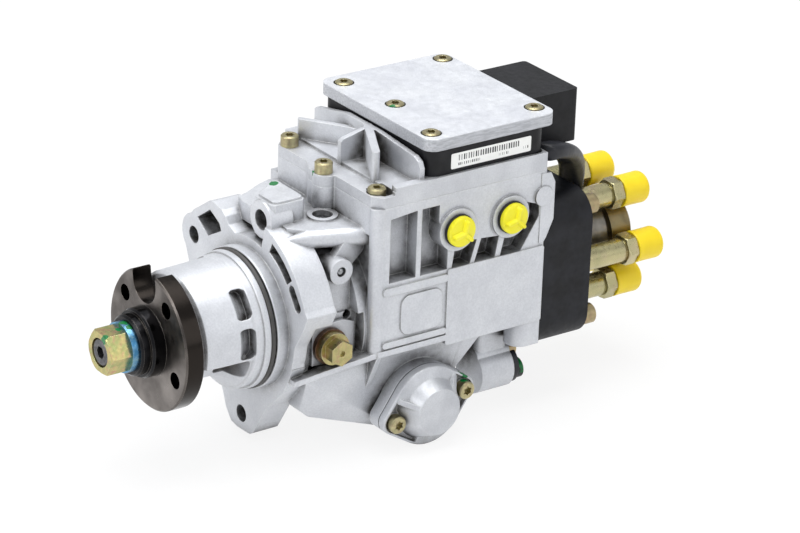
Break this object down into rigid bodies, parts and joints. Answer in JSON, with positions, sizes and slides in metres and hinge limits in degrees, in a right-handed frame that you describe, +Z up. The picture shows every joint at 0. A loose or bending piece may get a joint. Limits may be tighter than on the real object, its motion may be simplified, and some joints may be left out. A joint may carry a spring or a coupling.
{
  "type": "diesel injection pump",
  "caption": "Distributor-type diesel injection pump with a drive hub, a die-cast housing with a timing device, an electronic control unit on top and capped high-pressure outlets behind.",
  "frame": {"origin": "centre of the locating pilot, in the plane of the mounting face", "axes": "+Y along the drive shaft from the drive hub to the outlets, +Z up to the control unit, +X to the side with the two ports"},
  "size_m": [0.117, 0.3005, 0.1538],
  "materials": {
    "cast": "die-cast, blasted",
    "lid": "die-cast, machined rim",
    "zinc": "yellow zinc plated steel",
    "zinc_tan": "aged yellow zinc plated steel",
    "holder": "yellow-green zinc plated steel",
    "hub_steel": "oiled dark steel",
    "blue_zinc": "blue passivated spring steel",
    "head_black": "black coated steel",
    "black_plastic": "glass-filled plastic",
    "rubber": "nitrile rubber",
    "brown_rubber": "brown fluoro rubber",
    "copper": "copper",
    "steel": "ground steel",
    "bronze": "bearing bronze",
    "yellow": "yellow polyethylene",
    "board": "green circuit board",
    "valve_grey": "plated steel",
    "gasket": "coated gasket"
  },
  "bodies": {
    "housing": {"housing": "cast", "shaft_seal": "rubber", "front_bush": "bronze", "pilot_ring": "brown_rubber", "vane_ring": "steel", "pump_plate": "steel", "timing_cover": "lid", "timing_gasket": "gasket", "back_cover": "cast", "cover_screws": "zinc", "head_flange": "head_black", "barrel": "steel", "head_bolts": "zinc_tan", "outlet_holders": "holder", "valve_body": "valve_grey", "valve_cap": "holder", "cable_duct": "black_plastic", "unit_base": "cast", "unit_screws": "zinc", "unit_frame": "black_plastic", "circuit_board": "board", "unit_lid": "lid", "connector": "black_plastic", "port_seals": "rubber", "lock_bolt": "zinc", "lock_washer": "copper", "lock_spacer": "cast", "timing_solenoid": "black_plastic", "solenoid_screw": "zinc_tan", "gallery_plugs": "steel"},
    "shaft": {"drive_shaft": "hub_steel", "drive_hub": "hub_steel", "shaft_nut": "zinc", "spring_washer": "blue_zinc", "vane_rotor": "steel", "sensor_wheel": "steel", "distributor_shaft": "steel"},
    "vane_1": {"vane_1": "steel"},
    "vane_2": {"vane_2": "steel"},
    "vane_3": {"vane_3": "steel"},
    "vane_4": {"vane_4": "steel"},
    "pump_1": {"plunger_1": "steel", "shoe_1": "steel"},
    "pump_2": {"plunger_2": "steel", "shoe_2": "steel"},
    "pump_3": {"plunger_3": "steel", "shoe_3": "steel"},
    "roller_1": {"roller_1": "steel"},
    "roller_2": {"roller_2": "steel"},
    "roller_3": {"roller_3": "steel"},
    "cam": {"cam_ring": "steel", "cam_pin": "steel", "angle_sensor": "steel"},
    "timing": {"timing_piston": "steel", "timing_spring": "steel"},
    "needle": {"valve_needle": "steel"},
    "delivery": {"delivery_valves": "steel", "delivery_springs": "steel"},
    "caps": {"outlet_caps": "yellow"},
    "plugs": {"port_plugs": "yellow"}
  },
  "joints": [
    {"name": "shaft_spin", "type": "hinge", "parent": "housing", "child": "shaft", "pos_m": [0, 0, 0], "axis": [0, 1, 0], "continuous": true},
    {"name": "vane_1_slide", "type": "slide", "parent": "shaft", "child": "vane_1", "axis": [0.7071, 0, 0.7071], "range_m": [0, 0.0014]},
    {"name": "vane_2_slide", "type": "slide", "parent": "shaft", "child": "vane_2", "axis": [-0.7071, 0, 0.7071], "range_m": [0, 0.0014]},
    {"name": "vane_3_slide", "type": "slide", "parent": "shaft", "child": "vane_3", "axis": [-0.7071, 0, -0.7071], "range_m": [0, 0.0014]},
    {"name": "vane_4_slide", "type": "slide", "parent": "shaft", "child": "vane_4", "axis": [0.7071, 0, -0.7071], "range_m": [0, 0.0014]},
    {"name": "plunger_1_slide", "type": "slide", "parent": "shaft", "child": "pump_1", "axis": [0.866, 0, 0.5], "range_m": [0, 0.0029]},
    {"name": "roller_1_spin", "type": "hinge", "parent": "pump_1", "child": "roller_1", "pos_m": [0.01377, 0.07, 0.00795], "axis": [0, 1, 0], "continuous": true},
    {"name": "plunger_2_slide", "type": "slide", "parent": "shaft", "child": "pump_2", "axis": [-0.866, 0, 0.5], "range_m": [0, 0.0029]},
    {"name": "roller_2_spin", "type": "hinge", "parent": "pump_2", "child": "roller_2", "pos_m": [-0.01377, 0.07, 0.00795], "axis": [0, 1, 0], "continuous": true},
    {"name": "plunger_3_slide", "type": "slide", "parent": "shaft", "child": "pump_3", "axis": [0, 0, -1], "range_m": [0, 0.0029]},
    {"name": "roller_3_spin", "type": "hinge", "parent": "pump_3", "child": "roller_3", "pos_m": [0, 0.07, -0.0159], "axis": [0, 1, 0], "continuous": true},
    {"name": "timing_slide", "type": "slide", "parent": "housing", "child": "timing", "axis": [1, 0, 0], "range_m": [-0.006, 0.006]},
    {"name": "cam_ring_turn", "type": "hinge", "parent": "housing", "child": "cam", "pos_m": [0, 0, 0], "axis": [0, 1, 0], "range_deg": [-8, 8]},
    {"name": "needle_lift", "type": "slide", "parent": "housing", "child": "needle", "axis": [0, 1, 0], "range_m": [0, 0.0004]},
    {"name": "delivery_valve_lift", "type": "slide", "parent": "housing", "child": "delivery", "axis": [0, 1, 0], "range_m": [0, 0.001]},
    {"name": "outlet_caps_pull", "type": "slide", "parent": "housing", "child": "caps", "axis": [0, 1, 0], "range_m": [0, 0.03]},
    {"name": "port_plugs_pull", "type": "slide", "parent": "housing", "child": "plugs", "axis": [1, 0, 0], "range_m": [0, 0.025]}
  ],
  "couplings": [
    {"joint": "cam_ring_turn", "follows": "timing_slide", "rad_per_m": -22.472}
  ]
}
